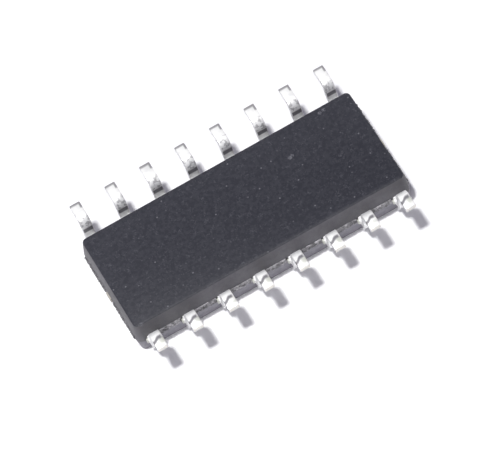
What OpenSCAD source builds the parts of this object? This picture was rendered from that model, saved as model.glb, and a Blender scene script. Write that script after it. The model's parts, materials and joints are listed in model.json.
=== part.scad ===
// Narrow small-outline integrated circuit with sixteen gull-wing leads.
// Each piece is drawn as the package stands on its feet, and is then turned over,
// so that the part lies on its marking face with the solder faces of its feet up.

/* [Moulded body] */
// Body beyond the centre of the outer leads, at each end
end_margin = 0.505; // [0.45:0.005:0.65]
// Width of the body at the parting line
body_width = 3.9; // [3.7:0.05:4.2]
// Height of the moulded body
body_height = 1.55; // [1.4:0.05:1.8]
// Gap between the body and the board
stand_off = 0.2; // [0.1:0.05:0.3]
// Lean of the walls that lets the body out of its mould
draft_angle = 8; // [5:1:12]
// Radius of the upright corners at the parting line
corner_radius = 0.25; // [0.2:0.01:0.35]
// Upright land above and below the lead sheet at the parting line
land_margin = 0.02; // [0.01:0.005:0.04]
// How far the resin web between the leads stands out of the wall
web_reach = 0.05; // [0.02:0.01:0.08]
// Diameter of the dimple that marks the first lead
dimple_diameter = 0.7; // [0.4:0.05:1]
// Depth of that dimple
dimple_depth = 0.06; // [0.03:0.01:0.1]
// Distance from the dimple's centre to the end and to the side of the body
dimple_inset = 0.85; // [0.7:0.05:1]

/* [Leads] */
// Distance between neighbouring leads
lead_pitch = 1.27; // [1.2:0.01:1.35]
// Thickness of the lead-frame sheet
sheet = 0.2; // [0.15:0.01:0.25]
// Width of a lead outside the body
lead_width = 0.36; // [0.33:0.01:0.5]
// Flat run of a lead from the body's wall to its first bend
shoulder = 0.2; // [0.18:0.01:0.3]
// Inside radius of both bends
bend_radius = 0.1; // [0.06:0.01:0.15]
// Slope of the leg, from the horizontal
leg_angle = 85; // [72:1:88]
// Flat length of the foot, from the bend to the cut tip
foot_flat = 0.46; // [0.3:0.01:0.6]
// Length of the stub left where the bar that joined the leads was cut away
stub_length = 0.1; // [0.06:0.01:0.12]
// How far that stub stands out on each side of its lead
stub_proud = 0.07; // [0.02:0.005:0.1]

/* [Lead frame inside the body] */
// Width of a finger
finger_width = 0.3; // [0.24:0.01:0.34]
// Gap that is stamped between neighbouring pieces of the frame
frame_gap = 0.2; // [0.15:0.01:0.24]
// Straight run of an outer finger before its tip
finger_run = 0.6; // [0.4:0.05:0.8]
// Width of the bar that anchors a lead in the resin
anchor_width = 0.6; // [0.5:0.02:0.8]
// Depth of that bar, from the lead's root towards the chip
anchor_depth = 0.18; // [0.12:0.01:0.22]
// Resin between that bar and the body's wall
anchor_cover = 0.22; // [0.18:0.01:0.26]
// Length of the paddle that carries the chip
paddle_length = 3; // [2.6:0.05:3.3]
// Width of the paddle
paddle_width = 2; // [1.8:0.05:2.1]
// How far the paddle is pressed below the leads
down_set = 0.15; // [0.1:0.01:0.2]
// Flat length of a tie bar at the paddle's end
tie_flat = 0.1; // [0.05:0.01:0.2]
// Length of the slope where a tie bar climbs to the leads' level
tie_slope = 0.3; // [0.25:0.01:0.4]
// Width of a tie bar
tie_width = 0.3; // [0.24:0.01:0.34]
// Stump of a tie bar left outside the body's end
tie_stump = 0.05; // [0.02:0.01:0.08]

/* [Chip and wires] */
// Length of the chip
die_length = 1.8; // [1.5:0.05:2.2]
// Width of the chip
die_width = 1.4; // [1.2:0.05:1.6]
// Thickness of the chip
die_height = 0.25; // [0.18:0.01:0.3]
// Thickness of the glue under the chip
glue_height = 0.03; // [0.02:0.005:0.05]
// Glue that shows round the chip
glue_margin = 0.05; // [0.02:0.01:0.09]
// Distance from a bond pad's centre to the chip's edge
pad_inset = 0.1; // [0.07:0.01:0.15]
// Distance from a finger's tip to the place where its wire lands
landing_inset = 0.1; // [0.08:0.01:0.15]
// Diameter of a bond wire
wire_diameter = 0.025; // [0.02:0.005:0.04]
// Diameter of the ball that starts a wire
ball_diameter = 0.07; // [0.06:0.005:0.09]
// Height of the ball
ball_height = 0.015; // [0.01:0.005:0.02]
// Height of a wire's loop
wire_loop = 0.15; // [0.12:0.01:0.2]

/* [Hidden] */
leads_per_side = 8;
columns = leads_per_side / 2;
lead_count = 2 * leads_per_side;
bend_steps = 8;
wire_steps = 6;
wire_sides = 6;
// Depth of a cut past the face that it opens
cut_past = 0.1;

half_length = (leads_per_side - 1) * lead_pitch / 2 + end_margin;
half_width = body_width / 2;
z_top = stand_off + body_height;
z_mid = stand_off + body_height / 2;
land_height = sheet + 2 * land_margin;
wall_height = (body_height - land_height) / 2;
face_radius = corner_radius - wall_height * tan(draft_angle);

bend_middle = bend_radius + sheet / 2;
leg_rise = z_mid - sheet / 2 - 2 * bend_middle * (1 - cos(leg_angle));
bend_start = half_width + shoulder;
foot_start = bend_start + 2 * bend_middle * sin(leg_angle) + leg_rise / tan(leg_angle);
foot_tip = foot_start + foot_flat;

anchor_y = half_width - anchor_cover - anchor_depth / 2;
elbow_y = anchor_y - anchor_depth / 2 - finger_width / 2;
paddle_x = paddle_length / 2;
paddle_y = paddle_width / 2;
row_inner = tie_width / 2 + frame_gap + finger_width / 2;
row_outer = row_inner + finger_width + frame_gap;
tip_x = paddle_x + frame_gap;
tip_y = paddle_y + frame_gap;

paddle_z = z_mid - down_set;
glue_z = paddle_z + sheet / 2;
die_z = glue_z + glue_height;
die_top = die_z + die_height;
finger_top = z_mid + sheet / 2;
pad_x = die_length / 2 - pad_inset;
pad_y = die_width / 2 - pad_inset;

// Plane geometry

function unit(v) = v / norm(v);
function left_of(v) = [-v.y, v.x];
function arc(centre, radius, from, to) = [
    for (i = [0 : bend_steps])
        let (a = from + (to - from) * i / bend_steps)
            centre + radius * [cos(a), sin(a)]
];
function backwards(list) = [for (i = [len(list) - 1 : -1 : 0]) list[i]];

// Offset of a path's corner that keeps the strip's width on both sides of the bend
function mitre(before, after) = let (a = left_of(before), b = left_of(after)) (a + b) / (1 + a * b);
function side_of(path, half) = [
    for (i = [0 : len(path) - 1])
        let (
            before = unit(i == 0 ? path[1] - path[0] : path[i] - path[i - 1]),
            after = unit(i == len(path) - 1 ? path[i] - path[i - 1] : path[i + 1] - path[i])
        )
            path[i] + half * mitre(before, after)
];
module strip(path, half) {
    polygon(concat(side_of(path, half), backwards(side_of(path, -half))));
}

// A lead's column counts outwards from the middle, and its side says which way it points.
// Leads run from the first at -x, -y along that side, and back along the other.
function column_of(n) = let (k = (n - 1) % leads_per_side) k < columns ? columns - 1 - k : k - columns;
function left_half(n) = (n <= columns) || (n > lead_count - columns);
function near_side(n) = n <= leads_per_side;
function column_x(c) = (c + 0.5) * lead_pitch;

// Centre line of the finger of each column, from its anchor to its tip
function finger_path(c) =
    let (x = column_x(c), start = [x, anchor_y])
        c == 0 ? [start, [x, tip_y]]
        : c == 1 ? [start, [x, elbow_y], [paddle_x - finger_width, tip_y + finger_width / 2]]
        : c == 2 ? [start, [x, elbow_y], [tip_x + finger_run, row_outer], [tip_x, row_outer]]
        : [start, [x, row_inner], [tip_x, row_inner]];

// Where a wire starts on the chip and where it lands on its finger
function pad_of(c) =
    c == 0 ? [die_length / 6, pad_y]
    : c == 1 ? [pad_x - pad_inset, pad_y]
    : c == 2 ? [pad_x, die_width / 4]
    : [pad_x, die_width / 12];
function landing_of(c) =
    let (path = finger_path(c), tip = path[len(path) - 1], before = path[len(path) - 2])
        tip + landing_inset * unit(before - tip);

// Placing

module turned_over() {
    translate([0, 0, z_top]) rotate([180, 0, 0]) children();
}

// What is drawn at +x, +y goes to the corner of the package that lead n has
module in_corner(n) {
    mirror([left_half(n) ? 1 : 0, 0, 0]) mirror([0, near_side(n) ? 1 : 0, 0]) children();
}

// Moulded body

// One corner of the body: two drafted walls and the upright land between them
module corner_post() {
    translate([0, 0, stand_off]) cylinder(h = wall_height, r1 = face_radius, r2 = corner_radius);
    translate([0, 0, z_mid - land_height / 2]) cylinder(h = land_height, r = corner_radius);
    translate([0, 0, z_mid + land_height / 2]) cylinder(h = wall_height, r1 = corner_radius, r2 = face_radius);
}

module body_block() {
    hull()
        for (x = [-1, 1], y = [-1, 1])
            translate([x * (half_length - corner_radius), y * (half_width - corner_radius), 0])
                corner_post($fn = 32);
}

// Resin that filled the gaps between the leads as far as the bar across them
module resin_webs() {
    span = (leads_per_side - 1) * lead_pitch;
    reach = 2 * (half_width + web_reach);
    translate([-span / 2, -reach / 2, z_mid - sheet / 2]) cube([span, reach, sheet]);
}

module first_lead_dimple() {
    translate([dimple_inset - half_length, dimple_inset - half_width, z_top - dimple_depth])
        cylinder(h = dimple_depth + cut_past, d = dimple_diameter, $fn = 48);
}

module package_body() {
    color([0.09, 0.09, 0.11])
        turned_over()
            difference() {
                union() {
                    body_block();
                    resin_webs();
                }
                first_lead_dimple();
                paddle_form();
                glue_form();
                die_form();
                for (n = [1 : lead_count]) {
                    lead_form(n);
                    wire_form(n);
                }
            }
}

// Leads

// Side view of a lead: shoulder, bend, leg, bend and foot, as the sheet is folded
module gull_wing_profile() {
    upper_centre = [bend_start, z_mid - bend_middle];
    lower_centre = [foot_start, sheet / 2 + bend_middle];
    outer = bend_radius + sheet;
    polygon(concat(
        [[anchor_y, z_mid + sheet / 2]],
        arc(upper_centre, outer, 90, 90 - leg_angle),
        arc(lower_centre, bend_radius, 270 - leg_angle, 270),
        [[foot_tip, sheet], [foot_tip, 0]],
        arc(lower_centre, outer, 270, 270 - leg_angle),
        arc(upper_centre, bend_radius, 90 - leg_angle, 90),
        [[anchor_y, z_mid - sheet / 2]]
    ));
}

module finger_outline(c) {
    strip(finger_path(c), finger_width / 2);
    translate([column_x(c) - anchor_width / 2, anchor_y - anchor_depth / 2])
        square([anchor_width, anchor_depth]);
}

module lead_form(n) {
    c = column_of(n);
    stub_width = lead_width + 2 * stub_proud;
    in_corner(n) {
        translate([column_x(c), 0, 0])
            rotate([90, 0, 90])
                linear_extrude(lead_width, center = true)
                    gull_wing_profile();
        translate([column_x(c) - stub_width / 2, half_width + web_reach, z_mid - sheet / 2])
            cube([stub_width, stub_length, sheet]);
        translate([0, 0, z_mid - sheet / 2])
            linear_extrude(sheet)
                finger_outline(c);
    }
}

module lead(n) {
    color([0.8, 0.8, 0.8]) turned_over() lead_form(n);
}

// Paddle, chip and glue

module paddle_form() {
    climb = paddle_x + tie_flat;
    end = half_length + tie_stump;
    path = [
        [-end, z_mid],
        [-climb - tie_slope, z_mid],
        [-climb, paddle_z],
        [climb, paddle_z],
        [climb + tie_slope, z_mid],
        [end, z_mid]
    ];
    rotate([90, 0, 0]) linear_extrude(tie_width, center = true) strip(path, sheet / 2);
    translate([-paddle_x, -paddle_y, paddle_z - sheet / 2]) cube([paddle_length, paddle_width, sheet]);
}

module die_paddle() {
    color([0.72, 0.45, 0.3]) turned_over() paddle_form();
}

module glue_form() {
    size = [die_length + 2 * glue_margin, die_width + 2 * glue_margin, glue_height];
    translate([-size.x / 2, -size.y / 2, glue_z]) cube(size);
}

module die_attach() {
    color([0.6, 0.6, 0.58]) turned_over() glue_form();
}

module die_form() {
    translate([-die_length / 2, -die_width / 2, die_z]) cube([die_length, die_width, die_height]);
}

module die() {
    color([0.35, 0.36, 0.4]) turned_over() die_form();
}

// Bond wires

// A ring of points round the wire, at a place along it and square to its direction
function ring(place, along, radius) = [
    for (j = [0 : wire_sides - 1])
        let (a = 360 * j / wire_sides, out = left_of(along) * radius * cos(a))
            [place.x + out.x, radius * sin(a), place.y + out.y]
];

// The wire's last ring, where the finger's flat top cuts it off
function cut_ring(place, along, radius) = [
    for (p = ring(place, along, radius))
        let (past = (place.y - p.z) / along.y)
            [p.x + past * along.x, p.y, place.y]
];

// Place and direction along the loop, rising straight from the ball and coming down flat
function loop_place(t, reach, rise, start) = [reach * t * t, start + rise * t + wire_loop * sin(180 * t)];
function loop_along(t, reach, rise) = unit([2 * reach * t, rise + wire_loop * PI * cos(180 * t)]);

function wire_points(reach) =
    let (
        up = [0, 1],
        ball_top = die_top + ball_height,
        neck = ball_top + wire_diameter / 2,
        rise = finger_top - neck,
        radius = wire_diameter / 2
    )
        concat(
            ring([0, die_top], up, ball_diameter / 2),
            ring([0, ball_top], up, ball_diameter / 2),
            [
                for (i = [0 : wire_steps - 1], p = ring(
                    loop_place(i / wire_steps, reach, rise, neck),
                    loop_along(i / wire_steps, reach, rise),
                    radius
                ))
                    p
            ],
            cut_ring(loop_place(1, reach, rise, neck), loop_along(1, reach, rise), radius)
        );

function tube_faces(rings) = concat(
    [
        for (i = [0 : rings - 2], j = [0 : wire_sides - 1])
            let (
                a = i * wire_sides + j,
                b = i * wire_sides + (j + 1) % wire_sides,
                c = b + wire_sides,
                d = a + wire_sides
            )
                each [[a, b, c], [a, c, d]]
    ],
    [[for (j = [wire_sides - 1 : -1 : 0]) j]],
    [[for (j = [0 : wire_sides - 1]) (rings - 1) * wire_sides + j]]
);

module wire_form(n) {
    c = column_of(n);
    run = landing_of(c) - pad_of(c);
    in_corner(n)
        translate([pad_of(c).x, pad_of(c).y, 0])
            rotate([0, 0, atan2(run.y, run.x)])
                polyhedron(wire_points(norm(run)), tube_faces(wire_steps + 3));
}

module bond_wire(n) {
    color([0.9, 0.72, 0.3]) turned_over() wire_form(n);
}

package_body();
die_paddle();
die_attach();
die();
for (n = [1 : lead_count]) {
    lead(n);
    bond_wire(n);
}
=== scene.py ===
"""Looks of a small-outline integrated circuit that lies on its back, with its leads in the air."""
import json
import math

import bmesh
import bpy
from bpy.props import FloatProperty, FloatVectorProperty, IntProperty, PointerProperty
from mathutils import Matrix, Vector


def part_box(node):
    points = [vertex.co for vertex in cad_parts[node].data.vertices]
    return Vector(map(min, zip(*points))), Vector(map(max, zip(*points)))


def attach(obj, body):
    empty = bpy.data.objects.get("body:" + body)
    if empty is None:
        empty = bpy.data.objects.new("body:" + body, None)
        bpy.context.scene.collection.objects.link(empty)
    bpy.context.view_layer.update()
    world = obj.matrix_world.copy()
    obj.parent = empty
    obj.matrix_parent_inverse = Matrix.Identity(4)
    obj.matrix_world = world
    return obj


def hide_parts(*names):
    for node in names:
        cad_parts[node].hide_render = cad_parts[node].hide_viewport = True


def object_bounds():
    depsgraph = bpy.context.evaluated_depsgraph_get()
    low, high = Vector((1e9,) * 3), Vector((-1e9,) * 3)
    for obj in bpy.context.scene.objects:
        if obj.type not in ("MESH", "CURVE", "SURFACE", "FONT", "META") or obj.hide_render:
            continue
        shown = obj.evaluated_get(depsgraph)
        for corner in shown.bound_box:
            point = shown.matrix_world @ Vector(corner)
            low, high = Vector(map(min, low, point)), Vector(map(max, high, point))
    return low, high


bl_info = {
    "name": "Small-outline chip",
    "version": (1, 0, 0),
    "blender": (4, 5, 0),
    "location": "View3D > Sidebar > Chip",
    "description": "Dresses the packed solids of a moulded chip and sets the studio round it",
    "category": "Add Mesh",
}

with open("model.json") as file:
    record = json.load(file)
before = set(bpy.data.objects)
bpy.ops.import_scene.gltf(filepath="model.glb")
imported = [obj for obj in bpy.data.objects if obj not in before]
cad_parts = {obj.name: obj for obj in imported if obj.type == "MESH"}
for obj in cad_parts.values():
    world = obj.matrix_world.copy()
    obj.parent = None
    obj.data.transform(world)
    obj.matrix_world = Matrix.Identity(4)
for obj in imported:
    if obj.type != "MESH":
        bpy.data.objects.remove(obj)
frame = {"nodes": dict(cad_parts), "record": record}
CAD_LOW, CAD_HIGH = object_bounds()

MM = 0.001

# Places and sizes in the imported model
BODY_LOW, BODY_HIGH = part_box("package_body")
BODY_MIDDLE = (BODY_LOW.z + BODY_HIGH.z) / 2
BODY_HALF = (BODY_HIGH.z - BODY_LOW.z) / 2
LEADS = [name for name in frame["nodes"] if name.startswith("lead_")]
WIRES = [name for name in frame["nodes"] if name.startswith("bond_wire_")]
FEET = [Vector(mount["pos_m"]) for mount in frame["record"]["mounts"] if mount["name"].startswith("foot_")]
LEAD_PLACES = sorted(foot.x for foot in FEET if foot.y > 0)
LEAD_PITCH = LEAD_PLACES[1] - LEAD_PLACES[0]
FOOT_TIP = CAD_HIGH.y
FOOT_HEEL = 2 * abs(FEET[0].y) - FOOT_TIP
FOOT_TOP = FEET[0].z
FOOT_EDGE = max(point.co.x for point in frame["nodes"]["lead_1"].data.vertices if point.co.y > FOOT_HEEL)
LEAD_HALF_WIDTH = FOOT_EDGE - FEET[0].x

# Fineness of the modelled pieces
CORNER_STEPS = 10
RIM_STEPS = 3
MARK_SIDES = 48
LEAD_EDGE_STEPS = 2
FLASH_CUTS_ALONG = 28
FLASH_CUTS_UP = 4

# How deep the flash is rooted in a wall, and how near two points count as one, in millimetres
FLASH_ROOT = 0.01
SAME_PLACE = 1e-4

# Limits by which faces and edges are told apart
FLASH_OUTER_SHARE = 0.9
FACES_AXIS = 0.9
RUNS_ALONG = 0.999
BODY_SMOOTH_ANGLE = math.radians(30)
LEAD_SMOOTH_ANGLE = math.radians(35)
LEAD_EDGE_ANGLE = math.radians(40)
LEAD_FLAT_ANGLE = math.radians(1)

# Camera and light
PHOTO_WIDTH = 500
SENSOR_WIDTH = 36.0
CLIP_START = 0.001
CLIP_END = 10.0
WHITE = (1.0, 1.0, 1.0, 1.0)
BACKDROP_RISE = (0.0, 0.75)
SEEN_RAYS = ("Is Camera Ray", "Is Glossy Ray", "Is Transmission Ray")

# Sockets of a Mix node that is set to colours
MIX_FACTOR = 0
MIX_FIRST = 6
MIX_SECOND = 7
MIX_RESULT = 2

# Sizes of the lumps in the finishes' noises
COMPOUND_GRAIN = 0.05 * MM
COMPOUND_LUMP = 0.16 * MM
COMPOUND_MOTTLE = 0.10 * MM
COMPOUND_CLOUD = 1.3 * MM
FLASH_PATCH = 0.09 * MM
FLASH_CHIP = 0.28 * MM
TIN_FILM = 0.3 * MM
TIN_GRAIN = 0.035 * MM
TIN_STAIN = 0.12 * MM

# Pale grains: their spacing, their edge as a share of it, and the draws that let a grain show
PALE_GRAIN_SPACING = 0.40 * MM
PALE_GRAIN_EDGE = (0.09, 0.03)
PALE_GRAIN_DRAW = (0.72, 0.95)

# Heights of the finishes' bumps
COMPOUND_RELIEF = 0.008 * MM
FLASH_RELIEF = 0.02 * MM
TIN_RELIEF = 0.005 * MM
METAL_RELIEF = 0.004 * MM

# How bright a plain metal stays where it is dull
METAL_DULL_SHARE = 0.7

# Scuffs on the compound, each with its place and radius in millimetres, and their fully worn share
SCUFFS = (
    ((3.72, 1.66, 1.55), 0.09),
    ((3.88, 1.69, 1.55), 0.09),
    ((2.15, 0.76, 1.55), 0.10),
    ((2.24, 0.79, 1.55), 0.08),
    ((-4.64, -1.87, 1.53), 0.10),
)
SCUFF_CORE = 0.35

# Places on the body: each pair is where a mask is 0 and where it is 1
RIM_BLEND = (-0.02 * MM, 0.02 * MM)
RIM_BAND = (-0.9 * MM, 0.0)
CORNER_BLEND = (-0.20 * MM, -0.12 * MM)
UNDER_FACES = (BODY_HALF - 0.01 * MM, BODY_HALF - 0.04 * MM)
LOW_WALL = (BODY_MIDDLE - 0.075 * MM, BODY_MIDDLE - 0.155 * MM)
REAR_PALER = (BODY_LOW.y + 0.1 * MM, BODY_HIGH.y - 0.1 * MM)
LEFT_PALER = (BODY_LOW.x + 2.45 * MM, BODY_LOW.x + 0.05 * MM)
FLASH_END = (BODY_HIGH.x - 0.04 * MM, BODY_HIGH.x)

# Places on a lead, in the same way, and the lengths that shape the painted dark band past each front heel
REAR_ROW = (-1.0 * MM, 1.0 * MM)
FOOT_UPPER = (FOOT_TOP - 0.10 * MM, FOOT_TOP - 0.04 * MM)
HEEL_SHADE_PLACE = FOOT_HEEL + 0.03 * MM
HEEL_SHADE_BOW = 0.12 * MM
HEEL_SHADE_WANDER = 0.08 * MM
HEEL_SHADE_BOWED = (0.04 * MM, -0.16 * MM)
HEEL_SHADE_WIDTH = (0.095 * MM, 0.02 * MM)
HEEL_SHADE_END = (0.19 * MM, 0.10 * MM)
# The dark bar of painted shade low on the inner side of each rear leg
DARK_BAR_HEIGHT = FOOT_TOP - 0.51 * MM
DARK_BAR_WIDTH = (0.13 * MM, 0.06 * MM)
DARK_BAR_ENDS = (LEAD_HALF_WIDTH - 0.008 * MM, LEAD_HALF_WIDTH - 0.025 * MM)
DARK_BAR_SIDE = (FOOT_HEEL - 0.173 * MM, FOOT_HEEL - 0.233 * MM)
STAIN_SIDE = (FOOT_HEEL + 0.007 * MM, FOOT_HEEL - 0.053 * MM)
STAIN_UPPER = (FOOT_TOP + 0.17 * MM, FOOT_TOP - 0.09 * MM)
STAIN_LOWER = (FOOT_TOP - 0.45 * MM, FOOT_TOP - 0.37 * MM)
# The dark rims of painted shade round each rear foot's tip and along one side near it
TIP_RIM_SHADE = (FOOT_TIP - 0.13 * MM, FOOT_TIP - 0.05 * MM)
SIDE_RIM_SHADE = (0.08 * MM, 0.135 * MM)
SIDE_RIM_SHADE_END = (FOOT_TIP - 0.30 * MM, FOOT_TIP - 0.22 * MM)
# The fainter painted shade past the band on each front foot
FAINT_SHADE_HEEL = (FOOT_HEEL + 0.08 * MM, FOOT_HEEL + 0.14 * MM)
FAINT_SHADE_TIP = (FOOT_TIP - 0.06 * MM, FOOT_TIP - 0.20 * MM)
FAINT_SHADE_SIDE = (-0.06 * MM, 0.06 * MM)
CUT_TIP = (FOOT_TIP - 0.010 * MM, FOOT_TIP - 0.004 * MM)
STUB = (LEAD_HALF_WIDTH, LEAD_HALF_WIDTH + 0.03 * MM)


def colour_value(name, description, default):
    """A colour that the sidebar shows as a swatch."""
    return FloatVectorProperty(
        name=name, description=description, default=default, subtype="COLOR", size=3, min=0.0, max=1.0
    )


def length_value(name, description, default):
    """A length in metres."""
    return FloatProperty(
        name=name, description=description, default=default, unit="LENGTH", precision=6, min=0.0
    )


def angle_value(name, description, degrees):
    """An angle, given here in degrees."""
    return FloatProperty(name=name, description=description, default=math.radians(degrees), unit="ROTATION")


def plain_value(name, description, default):
    """A number without a unit, such as a level of light or a count of pixels."""
    return FloatProperty(name=name, description=description, default=default)


class ChipSizes(bpy.types.PropertyGroup):
    """Sizes of the moulded body's finer forms and of the leads' edges."""

    web_reach: length_value("Web reach", "How far the resin web stands out of the parting line", 0.05 * MM)
    land_height: length_value("Land height", "Height of the upright band at the parting line", 0.24 * MM)
    draft_angle: angle_value("Draft angle", "Lean of the moulded walls", 8.0)
    corner_radius: length_value("Corner radius", "Radius of the body's upright corners", 0.25 * MM)
    rim_radius: length_value("Rim radius", "Rounding where a wall meets a face", 0.03 * MM)
    dimple_radius: length_value("Dimple radius", "Radius of the mark by lead 1", 0.35 * MM)
    dimple_depth: length_value("Dimple depth", "Depth of the mark by lead 1", 0.06 * MM)
    dimple_inset: length_value("Dimple inset", "Distance from the mark to the two nearest walls", 0.85 * MM)
    lead_edge: length_value("Lead edge", "Rounding of the stamped edges of a lead", 0.03 * MM)
    stub_reach: length_value("Stub reach", "From a lead's middle to the cut end of its dam bar", 0.25 * MM)
    tie_reach: length_value("Tie reach", "From a tie bar's middle to the flash beside it", 0.25 * MM)
    flash_height: length_value("Flash height", "Thickness of the resin left between the leads", 0.19 * MM)
    flash_ragged: length_value("Flash raggedness", "How far the edge of the flash wanders", 0.024 * MM)
    flash_seed: IntProperty(name="Flash seed", description="Picks another ragged edge", default=4, min=0)


class ChipColours(bpy.types.PropertyGroup):
    """Colours of the finishes."""

    compound: colour_value("Compound", "Moulding compound", (0.006, 0.0065, 0.015))
    filler: colour_value("Filler", "Grains of filler in the compound", (0.055, 0.056, 0.070))
    # The walls are painted greyer than the faces, and the lower walls paler still, as a painted reflection of
    # the white floor.
    wall: colour_value("Wall", "Compound of the walls, greyer than the faces", (0.105, 0.102, 0.108))
    low_wall_painted_light: colour_value("Low wall", "Compound of the lower walls, paler still", (0.245, 0.236, 0.268))
    scuff: colour_value("Scuff", "Scuffed compound", (0.15, 0.15, 0.17))
    flash: colour_value("Flash", "Broken resin at the parting line", (0.42, 0.41, 0.43))
    tin: colour_value("Tin", "Tin plating", (0.90, 0.90, 0.89))
    tin_shade: colour_value("Tin shade", "Tin plating where it is dull", (0.74, 0.74, 0.74))
    # The tin film colour is painted shade past each front heel; it also darkens the dam-bar stubs.
    tin_painted_shade_and_stubs: colour_value("Tin film", "Dull film on the feet", (0.50, 0.51, 0.46))
    # The tin crease colour is painted shade: the band past each front heel, the rims round each rear tip and
    # the bar low on each rear leg; the rear legs' stains share it.
    tin_painted_shade_and_stains: colour_value("Tin crease", "Tin plating rubbed dark by the tool", (0.19, 0.185, 0.20))
    alloy: colour_value("Alloy", "Bare alloy on the cut ends", (0.90, 0.86, 0.76))
    copper: colour_value("Copper", "Copper alloy of the paddle, tarnished", (0.53, 0.50, 0.46))
    silicon: colour_value("Silicon", "Chip", (0.20, 0.21, 0.24))
    glue: colour_value("Glue", "Silver-filled glue", (0.45, 0.45, 0.44))
    gold: colour_value("Gold", "Bond wire", (0.95, 0.70, 0.28))
    floor: colour_value("Floor", "Studio floor", (1.0, 1.0, 1.0))


class StudioSettings(bpy.types.PropertyGroup):
    """Camera and light."""

    azimuth: angle_value("Azimuth", "Camera's turn round the chip", -11.64)
    elevation: angle_value("Elevation", "Camera's height above the floor", 59.38)
    roll: angle_value("Roll", "Camera's turn about its own axis", -19.30)
    distance: length_value("Distance", "From the camera to the chip", 140.0 * MM)
    aim_height: length_value("Aim height", "Height of the point that the camera looks at", 0.8 * MM)
    pixels_per_metre: plain_value("Scale", "Photograph's pixels per metre", 31694.0)
    offset_x: plain_value("Offset across", "Pixels, to the right", -3.72)
    offset_y: plain_value("Offset down", "Pixels, downwards", -7.72)
    lamp_distance: length_value("Lamp distance", "From each lamp to the chip", 0.5)
    key_azimuth: angle_value("Lamp azimuth", "Overhead lamp's turn round the chip", -70.0)
    key_elevation: angle_value("Lamp elevation", "Overhead lamp's height above the floor", 80.0)
    key_angle: angle_value("Lamp angle", "How wide the overhead lamp looks from the chip", 6.0)
    key_level: plain_value("Lamp level", "Overhead lamp's share of a white floor's light", 0.84)
    front_azimuth: angle_value("Panel azimuth", "Front panel's turn round the chip", -35.0)
    front_elevation: angle_value("Panel elevation", "Front panel's height above the floor", 18.0)
    front_angle: angle_value("Panel angle", "How wide the front panel looks from the chip", 25.0)
    front_level: plain_value("Panel level", "Front panel's share of that light", 0.08)
    fill_level: plain_value("Fill level", "Surroundings' share of that light", 0.13)
    fill_tint: colour_value("Fill tint", "Colour of the surroundings' light", (0.70, 0.64, 1.0))
    horizon_level: plain_value("Horizon", "Backdrop's level low down; 1 is white", 0.6)
    floor_lift: plain_value("Floor lift", "White added to the floor as it is seen", 0.08)
    floor_size: length_value("Floor size", "Side of the floor", 0.6)


class Signal:
    """A node's output, so that shader maths is written as an expression."""

    def __init__(self, nodes, socket):
        self.nodes = nodes
        self.socket = socket

    def maths(self, operation, *values):
        """The result of a Math node."""
        return self.nodes.add("ShaderNodeMath", {"operation": operation}, dict(enumerate(values)))

    def __add__(self, other):
        return self.maths("ADD", self, other)

    __radd__ = __add__

    def __sub__(self, other):
        return self.maths("SUBTRACT", self, other)

    def __rsub__(self, other):
        return self.maths("SUBTRACT", other, self)

    def __mul__(self, other):
        return self.maths("MULTIPLY", self, other)

    __rmul__ = __mul__

    def __truediv__(self, other):
        return self.maths("DIVIDE", self, other)

    def __rtruediv__(self, other):
        return self.maths("DIVIDE", other, self)

    def __abs__(self):
        return self.maths("ABSOLUTE", self)

    def larger(self, other):
        """The larger of two values."""
        return self.maths("MAXIMUM", self, other)

    def smaller(self, other):
        """The smaller of two values."""
        return self.maths("MINIMUM", self, other)

    def fraction(self):
        """What is left over a whole number."""
        return self.maths("FRACT", self)

    def ramp(self, start, end):
        """0 before start and 1 past end, smooth between them; start may be the larger."""
        sockets = {"Value": self, "From Min": start, "From Max": end}
        return self.nodes.add("ShaderNodeMapRange", {"interpolation_type": "SMOOTHSTEP"}, sockets)


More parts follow.
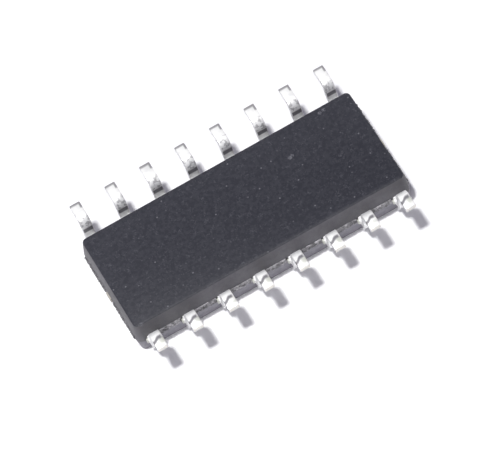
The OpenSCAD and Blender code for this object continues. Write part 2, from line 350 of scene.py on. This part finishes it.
class Nodes:
    """A node tree that is filled one node at a time."""

    def __init__(self, tree):
        self.tree = tree
        self.tree.nodes.clear()

    def add(self, kind, settings=None, sockets=None, output=0):
        """A node of a type, with its settings, then its sockets' values or links."""
        node = self.tree.nodes.new(kind)
        for name, value in (settings or {}).items():
            setattr(node, name, value)
        for key, value in (sockets or {}).items():
            if isinstance(value, Signal):
                self.tree.links.new(value.socket, node.inputs[key])
            else:
                node.inputs[key].default_value = value
        return Signal(self, node.outputs[output]) if node.outputs else None

    def place(self):
        """The place on the piece, in metres in the frame that all pieces share."""
        return self.add("ShaderNodeTexCoord", output="Object")

    def axes(self, place):
        """A place's x, y and z."""
        return [self.add("ShaderNodeSeparateXYZ", None, {0: place}, axis) for axis in range(3)]

    def noise(self, place, size, detail=2.0):
        """Smooth noise from 0 to 1 with lumps of about a size."""
        sockets = {"Vector": place, "Scale": 1.0 / size, "Detail": detail}
        return self.add("ShaderNodeTexNoise", None, sockets)

    def cells(self, place, size, output):
        """An output of cells of about a size, which run straight through the piece from face to face."""
        sockets = {"Vector": place, "Scale": 1.0 / size}
        return self.add("ShaderNodeTexVoronoi", {"voronoi_dimensions": "2D"}, sockets, output)

    def blend(self, factor, first, second):
        """The first colour where the factor is 0 and the second where it is 1."""
        sockets = {MIX_FACTOR: factor, MIX_FIRST: first, MIX_SECOND: second}
        return self.add("ShaderNodeMix", {"data_type": "RGBA"}, sockets, MIX_RESULT)

    def bump(self, height, depth, strength):
        """A surface that rises by a depth where the height is 1."""
        return self.add("ShaderNodeBump", None, {"Height": height, "Distance": depth, "Strength": strength})

    def spot(self, place, centre, radius):
        """1 at a place on the piece, given in millimetres, and 0 beyond a radius."""
        sockets = {0: place, 1: Vector(centre) * MM}
        away = self.add("ShaderNodeVectorMath", {"operation": "DISTANCE"}, sockets, "Value")
        return away.ramp(radius * MM, radius * MM * SCUFF_CORE)

    def seen(self):
        """1 for what the eye sees, straight or in a reflection, and 0 for light that a surface scatters."""
        paths = [self.add("ShaderNodeLightPath", None, None, name) for name in SEEN_RAYS]
        return (paths[0] + paths[1] + paths[2]).smaller(1.0)

    def surface(self, **sockets):
        """The finish's shader, led to the material's output."""
        named = {name.replace("_", " "): value for name, value in sockets.items()}
        shader = self.add("ShaderNodeBsdfPrincipled", None, named)
        self.add("ShaderNodeOutputMaterial", None, {"Surface": shader})


def finish_nodes(name):
    """A new material and its empty node tree."""
    material = bpy.data.materials.new(name)
    material.use_nodes = True
    return material, Nodes(material.node_tree)


def solid(colour):
    """A colour setting as a colour socket takes it."""
    return (*colour, 1.0)


def wall_masks(sizes, x, y, z):
    """1 on the body's walls and 0 on its two faces, and a rise from 0 to 1 towards the rim of a face."""
    lean = (BODY_HIGH.z - BODY_LOW.z - sizes.land_height) / 2 * math.tan(sizes.draft_angle)
    face_x = BODY_HIGH.x - lean
    face_y = BODY_HIGH.y - sizes.web_reach - lean
    out = (abs(x) - face_x).larger(abs(y) - face_y)
    corner = abs(z - BODY_MIDDLE).ramp(*UNDER_FACES) * out.ramp(*CORNER_BLEND)
    return out.ramp(*RIM_BLEND).larger(corner), out.ramp(*RIM_BAND)


def pale_grains(nodes, place):
    """1 on the few grains of filler that stand out from the rest."""
    near = nodes.cells(place, PALE_GRAIN_SPACING, "Distance").ramp(*PALE_GRAIN_EDGE)
    tint = nodes.cells(place, PALE_GRAIN_SPACING, "Color")
    chance = nodes.add("ShaderNodeSeparateColor", None, {0: tint})
    return near * chance.ramp(*PALE_GRAIN_DRAW)


def scuff_marks(nodes, place):
    """1 where the compound is scuffed."""
    marks = nodes.spot(place, *SCUFFS[0])
    for scuff in SCUFFS[1:]:
        marks = marks.larger(nodes.spot(place, *scuff))
    return marks


def compound_finish(colours, sizes):
    """Matte black moulding compound with pale grains of filler and a few scuffs; its walls are painted greyer
    than the faces, and paler still low down, as a painted reflection of the white floor, and its faces are
    paler towards the back, the left end and the rims.
    """
    material, nodes = finish_nodes("mould_compound")
    place = nodes.place()
    x, y, z = nodes.axes(place)
    grain = nodes.noise(place, COMPOUND_GRAIN, detail=3.0)
    lumps = nodes.noise(place, COMPOUND_LUMP)
    cloud = nodes.noise(place, COMPOUND_CLOUD, detail=3.0)
    wall, rim = wall_masks(sizes, x, y, z)
    speck = (grain * 0.5 + lumps * 0.5).ramp(0.53, 0.72)
    mottle = nodes.noise(place, COMPOUND_MOTTLE).ramp(0.36, 0.64)
    # Paler towards the back, towards the left end and near the rims of the face
    paler_rear_left_rim = y.ramp(*REAR_PALER) * 0.20 + x.ramp(*LEFT_PALER) * 0.06 + rim * 0.05
    pale = speck * 0.80 + mottle * 0.26 + cloud.ramp(0.3, 0.7) * 0.05 + paler_rear_left_rim - 0.10
    dusty = nodes.blend(pale, solid(colours.compound), solid(colours.filler))
    face = nodes.blend(pale_grains(nodes, place), dusty, solid(colours.scuff))
    # Painted reflection of the white floor: the walls are greyer than the faces, and paler still low down.
    upper = nodes.blend(cloud.ramp(0.35, 0.65) * 0.25, solid(colours.wall), solid(colours.low_wall_painted_light))
    sides = nodes.blend(z.ramp(*LOW_WALL), upper, solid(colours.low_wall_painted_light))
    worn = lumps.ramp(0.35, 0.70) * 0.22 + grain.ramp(0.40, 0.65) * 0.12
    rubbed = nodes.blend(worn, sides, solid(colours.filler))
    plain = nodes.blend(wall, face, rubbed)
    scuffed = scuff_marks(nodes, place) * grain.ramp(0.35, 0.6)
    nodes.surface(
        Base_Color=nodes.blend(scuffed, plain, solid(colours.scuff)),
        Roughness=0.36 + grain * 0.14 + wall * 0.08,
        Normal=nodes.bump(grain * 0.6 + lumps * 0.4, COMPOUND_RELIEF, strength=0.6),
        IOR=1.5,
        Specular_IOR_Level=0.36,
    )
    return material


def flash_finish(colours):
    """Broken resin at the parting line, pale where it has cracked."""
    material, nodes = finish_nodes("resin_flash")
    place = nodes.place()
    patch = nodes.noise(place, FLASH_PATCH, detail=3.0)
    chip = nodes.noise(place, FLASH_CHIP)
    end = abs(nodes.axes(place)[0]).ramp(*FLASH_END)
    pale = (patch * 0.5 + chip * 0.5).ramp(0.38, 0.64) * (1.0 - end * 0.6)
    nodes.surface(
        # Between its pale patches the flash takes the walls' colour, which is painted greyer as a reflection
        # of the floor.
        Base_Color=nodes.blend(pale, solid(colours.wall), solid(colours.flash)),
        Roughness=0.35 + patch * 0.25,
        Normal=nodes.bump(patch, FLASH_RELIEF, strength=0.6),
        IOR=1.55,
    )
    return material


def front_foot_shade(film, across, reach, top):
    """A band of painted dark reflection across a front foot just past its heel, and fainter painted shade
    past it.
    """
    bow = across.ramp(*HEEL_SHADE_BOWED) * HEEL_SHADE_BOW + film * HEEL_SHADE_WANDER
    bend = abs(reach - (HEEL_SHADE_PLACE + bow)).ramp(*HEEL_SHADE_WIDTH)
    heel_shade = bend * top * across.ramp(*HEEL_SHADE_END)
    strip = reach.ramp(*FAINT_SHADE_HEEL) * reach.ramp(*FAINT_SHADE_TIP)
    darker = strip * across.ramp(*FAINT_SHADE_SIDE) * top * film.ramp(0.25, 0.55)
    return heel_shade, darker


def rear_leg_shade_and_stains(nodes, place, y, z, across, rear):
    """A dark bar of painted shade across the inner side of a rear leg, and the stains above it."""
    bar = y.ramp(*DARK_BAR_SIDE) * rear * abs(across).ramp(*DARK_BAR_ENDS)
    painted_dark_bar = abs(z - DARK_BAR_HEIGHT).ramp(*DARK_BAR_WIDTH) * bar
    leg = y.ramp(*STAIN_SIDE) * rear * z.ramp(*STAIN_UPPER) * z.ramp(*STAIN_LOWER)
    stain = nodes.noise(place, TIN_STAIN).ramp(0.48, 0.60) * leg * 0.6
    return painted_dark_bar.larger(stain)


def tin_finish(colours):
    """Matte tin plating with bare alloy on the cut tips and stains on the rear legs, and painted shade: a
    dark band past each front heel, dark rims round each rear tip and a dark bar low on each rear leg.
    """
    material, nodes = finish_nodes("tinned_lead")
    place = nodes.place()
    x, y, z = nodes.axes(place)
    film = nodes.noise(place, TIN_FILM, detail=3.0)
    grain = nodes.noise(place, TIN_GRAIN)
    across = ((x / LEAD_PITCH).fraction() - 0.5) * LEAD_PITCH
    reach = abs(y)
    rear = y.ramp(*REAR_ROW)
    high = z.ramp(*FOOT_UPPER)
    # Painted dark reflection in a band past each front heel, and fainter painted shade past it
    heel_shade, darker = front_foot_shade(film, across, reach, high * (1.0 - rear))
    # Painted shade on the rims round each rear foot's tip and along one side near it
    side = across.ramp(*SIDE_RIM_SHADE) * reach.ramp(*SIDE_RIM_SHADE_END)
    worn = reach.ramp(*TIP_RIM_SHADE).larger(side) * rear * high * 0.8
    # All the painted shade on the leads, with the rear legs' stains
    dark = heel_shade.larger(worn).larger(rear_leg_shade_and_stains(nodes, place, y, z, across, rear))
    cut = reach.ramp(*CUT_TIP) * grain.ramp(0.35, 0.6)
    stub = abs(across).ramp(*STUB)
    shade = film.ramp(0.35, 0.75).larger(stub)
    bright = nodes.blend(shade, solid(colours.tin), solid(colours.tin_shade))
    # The fainter painted shade past each front heel, and the darker dam-bar stubs
    plating = nodes.blend((darker * 0.8).larger(stub), bright, solid(colours.tin_painted_shade_and_stubs))
    shaded_plating = nodes.blend(dark, plating, solid(colours.tin_painted_shade_and_stains))
    nodes.surface(
        Base_Color=nodes.blend(cut, shaded_plating, solid(colours.alloy)),
        Roughness=0.38 + film * 0.14,
        Normal=nodes.bump(grain * 0.4 + film * 0.6, TIN_RELIEF, strength=0.4),
        Metallic=0.15 + high * 0.35,
    )
    return material


def metal_finish(name, colour, cloud_size, roughness):
    """Plain metal with a faint cloudiness."""
    material, nodes = finish_nodes(name)
    cloud = nodes.noise(nodes.place(), cloud_size, detail=3.0)
    darker = tuple(channel * METAL_DULL_SHARE for channel in colour)
    nodes.surface(
        Base_Color=nodes.blend(cloud, solid(colour), solid(darker)),
        Roughness=roughness + cloud * 0.15,
        Normal=nodes.bump(cloud, METAL_RELIEF, strength=0.3),
        Metallic=1.0,
    )
    return material


def floor_finish(colours, lift):
    """Pale studio floor that keeps the shadows and is white to the eye where it is fully lit."""
    material, nodes = finish_nodes("studio_floor")
    paint = nodes.add("ShaderNodeBsdfDiffuse", None, {"Color": solid(colours.floor)})
    glow = nodes.add("ShaderNodeEmission", None, {"Color": WHITE, "Strength": nodes.seen() * lift})
    shader = nodes.add("ShaderNodeAddShader", None, {0: paint, 1: glow})
    nodes.add("ShaderNodeOutputMaterial", None, {"Surface": shader})
    return material


def deselect():
    """Goes to object mode, with nothing selected."""
    if bpy.context.object and bpy.context.object.mode != "OBJECT":
        bpy.ops.object.mode_set(mode="OBJECT")
    bpy.ops.object.select_all(action="DESELECT")


def pick(kind, test):
    """Selects only the faces or edges of the mesh in edit mode that pass a test."""
    mesh = bmesh.from_edit_mesh(bpy.context.object.data)
    bpy.ops.mesh.select_all(action="DESELECT")
    bpy.ops.mesh.select_mode(type="FACE" if kind == "faces" else "EDGE")
    for element in getattr(mesh, kind):
        if test(element):
            element.select_set(True)
    mesh.select_flush_mode()
    bmesh.update_edit_mesh(bpy.context.object.data)


def runs_up(edge):
    """True for an upright edge."""
    along = edge.verts[1].co - edge.verts[0].co
    return abs(along.z) > RUNS_ALONG * along.length


def add_block(context, place, size):
    """A block of a size, with its middle at a place."""
    bpy.ops.mesh.primitive_cube_add(size=1, location=place, scale=size)
    bpy.ops.object.transform_apply(location=True, rotation=True, scale=True)
    return context.object


def shrink_to_metres(piece):
    """Pieces are shaped in millimetres, where the edit tools keep their accuracy, and then shrunk."""
    piece.data.transform(Matrix.Scale(MM, 4))
    piece.data.update()


def finish_piece(piece, material, nodes_replaced):
    """Gives a piece its finish and ties it to the frame."""
    piece.data.materials.clear()
    piece.data.materials.append(material)
    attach(piece, "root")
    if nodes_replaced:
        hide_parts(*nodes_replaced)


def apply_modifier(piece, kind, **settings):
    """Adds a modifier to a piece and applies it."""
    modifier = piece.modifiers.new(kind.title(), kind)
    for name, value in settings.items():
        setattr(modifier, name, value)
    bpy.context.view_layer.objects.active = piece
    bpy.ops.object.modifier_apply(modifier=modifier.name)


def direction(azimuth, elevation):
    """Unit vector from the chip towards a place round it; azimuth 0 is in front."""
    flat = math.cos(elevation)
    return Vector((math.sin(azimuth) * flat, -math.cos(azimuth) * flat, math.sin(elevation)))


class CHIP_OT_moulded_body(bpy.types.Operator):
    """Models the moulded body, with drafted walls, rounded rims and the mark by lead 1"""

    bl_idname = "chip.moulded_body"
    bl_label = "Moulded body"

    def execute(self, context):
        sizes = context.scene.chip_sizes
        deselect()
        reach = Vector((0.0, sizes.web_reach, 0.0))
        size = (BODY_HIGH - BODY_LOW - reach * 2) / MM
        middle = (BODY_LOW + BODY_HIGH) / 2 / MM
        land = sizes.land_height / MM
        wall = (size.z - land) / 2
        inset = wall * math.tan(sizes.draft_angle)
        rim_height = size.z / 2 - SAME_PLACE
        body = add_block(context, middle, (size.x, size.y, land))
        body.name = "moulded_body"
        bpy.ops.object.mode_set(mode="EDIT")
        pick("edges", runs_up)
        bpy.ops.mesh.bevel(offset=sizes.corner_radius / MM, segments=CORNER_STEPS, affect="EDGES")
        for side in (-1, 1):
            pick("faces", lambda face: face.normal.z * side > FACES_AXIS)
            bpy.ops.mesh.inset(thickness=inset)
            bpy.ops.transform.translate(value=(0, 0, side * wall))
            pick("edges", lambda edge: min((v.co.z - middle.z) * side for v in edge.verts) > rim_height)
            bpy.ops.mesh.bevel(offset=sizes.rim_radius / MM, segments=RIM_STEPS, affect="EDGES")
        bpy.ops.object.mode_set(mode="OBJECT")
        self.sink_mark(context, body, sizes, size)
        shrink_to_metres(body)
        bpy.ops.object.shade_smooth_by_angle(angle=BODY_SMOOTH_ANGLE)
        compound = compound_finish(context.scene.chip_colours, sizes)
        finish_piece(body, compound, ["package_body"])
        return {"FINISHED"}

    def sink_mark(self, context, body, sizes, size):
        """Cuts the shallow round mark into the face that lies on the floor."""
        deselect()
        inset = sizes.dimple_inset / MM
        depth = sizes.dimple_depth / MM
        spot = (inset - size.x / 2, size.y / 2 - inset, 0)
        radius = sizes.dimple_radius / MM
        bpy.ops.mesh.primitive_cylinder_add(
            radius=radius, depth=depth * 2, location=spot, vertices=MARK_SIDES
        )
        cutter = context.object
        apply_modifier(body, "BOOLEAN", object=cutter, operation="DIFFERENCE")
        bpy.data.objects.remove(cutter)
        body.select_set(True)


class CHIP_OT_resin_flash(bpy.types.Operator):
    """Models the ragged resin web along the parting line, between the leads and beside the tie bars"""

    bl_idname = "chip.resin_flash"
    bl_label = "Resin flash"

    def execute(self, context):
        sizes = context.scene.chip_sizes
        deselect()
        thick = sizes.flash_height / MM
        wall_x = BODY_HIGH.x / MM
        wall_y = (BODY_HIGH.y - sizes.web_reach) / MM
        reach = sizes.web_reach / MM
        end_reach = reach / 2
        strips = self.add_strips(context, sizes, (wall_x, wall_y), (end_reach, reach), thick)
        for strip in strips:
            strip.select_set(True)
        bpy.ops.object.join()
        flash = context.object
        flash.name = "resin_flash"
        bpy.ops.object.mode_set(mode="EDIT")
        pick("edges", lambda edge: edge.calc_length() > 2 * thick)
        bpy.ops.mesh.subdivide(number_cuts=FLASH_CUTS_ALONG)
        pick("edges", runs_up)
        bpy.ops.mesh.subdivide(number_cuts=FLASH_CUTS_UP)
        outer_x = wall_x + end_reach * FLASH_OUTER_SHARE
        outer_y = wall_y + reach * FLASH_OUTER_SHARE
        pick("faces", lambda face: self.faces_out(face.calc_center_median(), outer_x, outer_y))
        bpy.ops.transform.vertex_random(
            offset=sizes.flash_ragged / MM, uniform=1.0, normal=0.0, seed=sizes.flash_seed
        )
        bpy.ops.object.mode_set(mode="OBJECT")
        shrink_to_metres(flash)
        finish_piece(flash, flash_finish(context.scene.chip_colours), [])
        return {"FINISHED"}

    def add_strips(self, context, sizes, walls, reaches, thick):
        """Blocks of resin, rooted in the long walls between the leads and in the ends by the tie bars."""
        wall_x, wall_y = walls
        end_reach, reach = reaches
        height = BODY_MIDDLE / MM
        gap = (LEAD_PITCH - 2 * sizes.stub_reach) / MM
        first = sizes.tie_reach / MM
        last = wall_y - sizes.corner_radius / MM
        strips = []
        for side in (-1, 1):
            for left in LEAD_PLACES[:-1]:
                place = ((left + LEAD_PITCH / 2) / MM, side * (wall_y + reach / 2 - FLASH_ROOT), height)
                strips.append(add_block(context, place, (gap, reach + 2 * FLASH_ROOT, thick)))
            for half in (-1, 1):
                place = (side * (wall_x + end_reach / 2 - FLASH_ROOT), half * (first + last) / 2, height)
                strips.append(add_block(context, place, (end_reach + 2 * FLASH_ROOT, last - first, thick)))
        return strips

    def faces_out(self, middle, outer_x, outer_y):
        """True for a face on the outer side of a strip."""
        return abs(middle.x) > outer_x or abs(middle.y) > outer_y


class CHIP_OT_leads(bpy.types.Operator):
    """Rounds the stamped edges of the sixteen leads and tins them"""

    bl_idname = "chip.leads"
    bl_label = "Leads"

    def execute(self, context):
        sizes = context.scene.chip_sizes
        tin = tin_finish(context.scene.chip_colours)
        for name in LEADS:
            deselect()
            lead = self.copy_lead(context, name)
            bpy.ops.object.mode_set(mode="EDIT")
            bpy.ops.mesh.select_all(action="SELECT")
            bpy.ops.mesh.remove_doubles(threshold=SAME_PLACE)
            bpy.ops.mesh.dissolve_limited(angle_limit=LEAD_FLAT_ANGLE)
            bpy.ops.object.mode_set(mode="OBJECT")
            apply_modifier(
                lead,
                "BEVEL",
                width=sizes.lead_edge / MM,
                segments=LEAD_EDGE_STEPS,
                limit_method="ANGLE",
                angle_limit=LEAD_EDGE_ANGLE,
            )
            shrink_to_metres(lead)
            bpy.ops.object.shade_smooth_by_angle(angle=LEAD_SMOOTH_ANGLE)
            finish_piece(lead, tin, [name])
        return {"FINISHED"}

    def copy_lead(self, context, name):
        """A copy of a packed lead, in millimetres, selected and active."""
        mesh = bpy.data.meshes.new("tinned_" + name)
        source = bmesh.new()
        source.from_mesh(frame["nodes"][name].data)
        source.to_mesh(mesh)
        source.free()
        mesh.transform(Matrix.Scale(1 / MM, 4))
        lead = bpy.data.objects.new("tinned_" + name, mesh)
        context.scene.collection.objects.link(lead)
        context.view_layer.objects.active = lead
        lead.select_set(True)
        return lead


class CHIP_OT_inner_pieces(bpy.types.Operator):
    """Finishes the pieces that the compound hides, and the cut ends of the paddle's tie bars"""

    bl_idname = "chip.inner_pieces"
    bl_label = "Inner pieces"

    def execute(self, context):
        colours = context.scene.chip_colours
        finishes = {
            "die_paddle": metal_finish("copper_alloy", colours.copper, cloud_size=0.2 * MM, roughness=0.3),
            "die_attach": metal_finish("die_glue", colours.glue, cloud_size=0.04 * MM, roughness=0.6),
            "die": metal_finish("silicon", colours.silicon, cloud_size=0.3 * MM, roughness=0.15),
        }
        gold = metal_finish("gold_wire", colours.gold, cloud_size=0.1 * MM, roughness=0.2)
        finishes.update({name: gold for name in WIRES})
        for name, material in finishes.items():
            mesh = frame["nodes"][name].data
            mesh.materials.clear()
            mesh.materials.append(material)
        return {"FINISHED"}


class CHIP_OT_studio(bpy.types.Operator):
    """Sets the floor, the two lamps, the surroundings and the camera"""

    bl_idname = "chip.studio"
    bl_label = "Studio"

    def execute(self, context):
        studio = context.scene.chip_studio
        deselect()
        bpy.ops.mesh.primitive_plane_add(size=studio.floor_size)
        floor = context.object
        floor.name = "studio_floor"
        floor.data.materials.append(floor_finish(context.scene.chip_colours, studio.floor_lift))
        overhead = direction(studio.key_azimuth, studio.key_elevation) * studio.lamp_distance
        front = direction(studio.front_azimuth, studio.front_elevation) * studio.lamp_distance
        self.add_lamp(context, "overhead_lamp", overhead, studio.key_angle, studio.key_level)
        self.add_lamp(context, "front_panel", front, studio.front_angle, studio.front_level)
        self.add_surroundings(context, studio)
        self.add_camera(context, studio)
        context.scene.view_settings.view_transform = "Standard"
        return {"FINISHED"}

    def add_lamp(self, context, name, place, angle, level):
        """A round lamp that looks as wide as an angle and gives a share of a white floor's light."""
        lamp = bpy.data.lights.new(name, "AREA")
        lamp.shape = "DISK"
        lamp.size = 2 * place.length * math.tan(angle / 2)
        lamp.energy = level * math.pi ** 2 * place.length ** 3 / place.z
        holder = bpy.data.objects.new(name, lamp)
        holder.location = place
        holder.rotation_mode = "QUATERNION"
        holder.rotation_quaternion = (-place).to_track_quat("-Z", "Y")
        context.scene.collection.objects.link(holder)

    def add_surroundings(self, context, studio):
        """Pale to the eye and in reflections, and a plain fill light for the rest."""
        world = bpy.data.worlds.new("surroundings")
        world.use_nodes = True
        nodes = Nodes(world.node_tree)
        height = nodes.axes(nodes.add("ShaderNodeTexCoord", output="Generated"))[2]
        backdrop = studio.horizon_level + height.ramp(*BACKDROP_RISE) * (1.0 - studio.horizon_level)
        tint = solid(studio.fill_tint)
        fill = nodes.add("ShaderNodeBackground", None, {"Color": tint, "Strength": studio.fill_level})
        white = nodes.add("ShaderNodeBackground", None, {"Color": WHITE, "Strength": backdrop})
        shader = nodes.add("ShaderNodeMixShader", None, {0: nodes.seen(), 1: fill, 2: white})
        nodes.add("ShaderNodeOutputWorld", None, {"Surface": shader})
        context.scene.world = world

    def add_camera(self, context, studio):
        """A camera that sees the chip as the photograph does, at the same scale and place."""
        back = direction(studio.azimuth, studio.elevation)
        right = Vector((math.cos(studio.azimuth), math.sin(studio.azimuth), 0.0))
        up = back.cross(right)
        across = right * math.cos(studio.roll) + up * math.sin(studio.roll)
        upright = up * math.cos(studio.roll) - right * math.sin(studio.roll)
        lens = bpy.data.cameras.new("photo_camera")
        lens.sensor_fit = "HORIZONTAL"
        lens.sensor_width = SENSOR_WIDTH
        lens.lens = studio.pixels_per_metre * studio.distance / PHOTO_WIDTH * SENSOR_WIDTH
        lens.shift_x = -studio.offset_x / PHOTO_WIDTH
        lens.shift_y = studio.offset_y / PHOTO_WIDTH
        lens.clip_start = CLIP_START
        lens.clip_end = CLIP_END
        camera = bpy.data.objects.new("photo_camera", lens)
        camera.matrix_world = Matrix((across, upright, back)).transposed().to_4x4()
        camera.location = Vector((0.0, 0.0, studio.aim_height)) + back * studio.distance
        context.scene.collection.objects.link(camera)
        context.scene.camera = camera


class CHIP_PT_panel(bpy.types.Panel):
    """Lists the steps that dress the chip, and their settings"""

    bl_idname = "CHIP_PT_panel"
    bl_label = "Small-outline chip"
    bl_space_type = "VIEW_3D"
    bl_region_type = "UI"
    bl_category = "Chip"

    def draw(self, context):
        """A button for each step, then each setting."""
        for operator in OPERATORS:
            self.layout.operator(operator.bl_idname)
        for group in (context.scene.chip_sizes, context.scene.chip_colours, context.scene.chip_studio):
            for name in group.__annotations__:
                self.layout.prop(group, name)


OPERATORS = (
    CHIP_OT_moulded_body,
    CHIP_OT_resin_flash,
    CHIP_OT_leads,
    CHIP_OT_inner_pieces,
    CHIP_OT_studio,
)
CLASSES = (ChipSizes, ChipColours, StudioSettings, *OPERATORS, CHIP_PT_panel)


def register():
    """Makes the settings, the steps and the panel known to Blender."""
    for item in CLASSES:
        bpy.utils.register_class(item)
    bpy.types.Scene.chip_sizes = PointerProperty(type=ChipSizes)
    bpy.types.Scene.chip_colours = PointerProperty(type=ChipColours)
    bpy.types.Scene.chip_studio = PointerProperty(type=StudioSettings)


def unregister():
    """Takes them out again."""
    del bpy.types.Scene.chip_studio
    del bpy.types.Scene.chip_colours
    del bpy.types.Scene.chip_sizes
    for item in reversed(CLASSES):
        bpy.utils.unregister_class(item)


def main():
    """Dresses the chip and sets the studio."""
    register()
    bpy.ops.chip.moulded_body()
    bpy.ops.chip.resin_flash()
    bpy.ops.chip.leads()
    bpy.ops.chip.inner_pieces()
    bpy.ops.chip.studio()


if __name__ == "__main__":
    main()
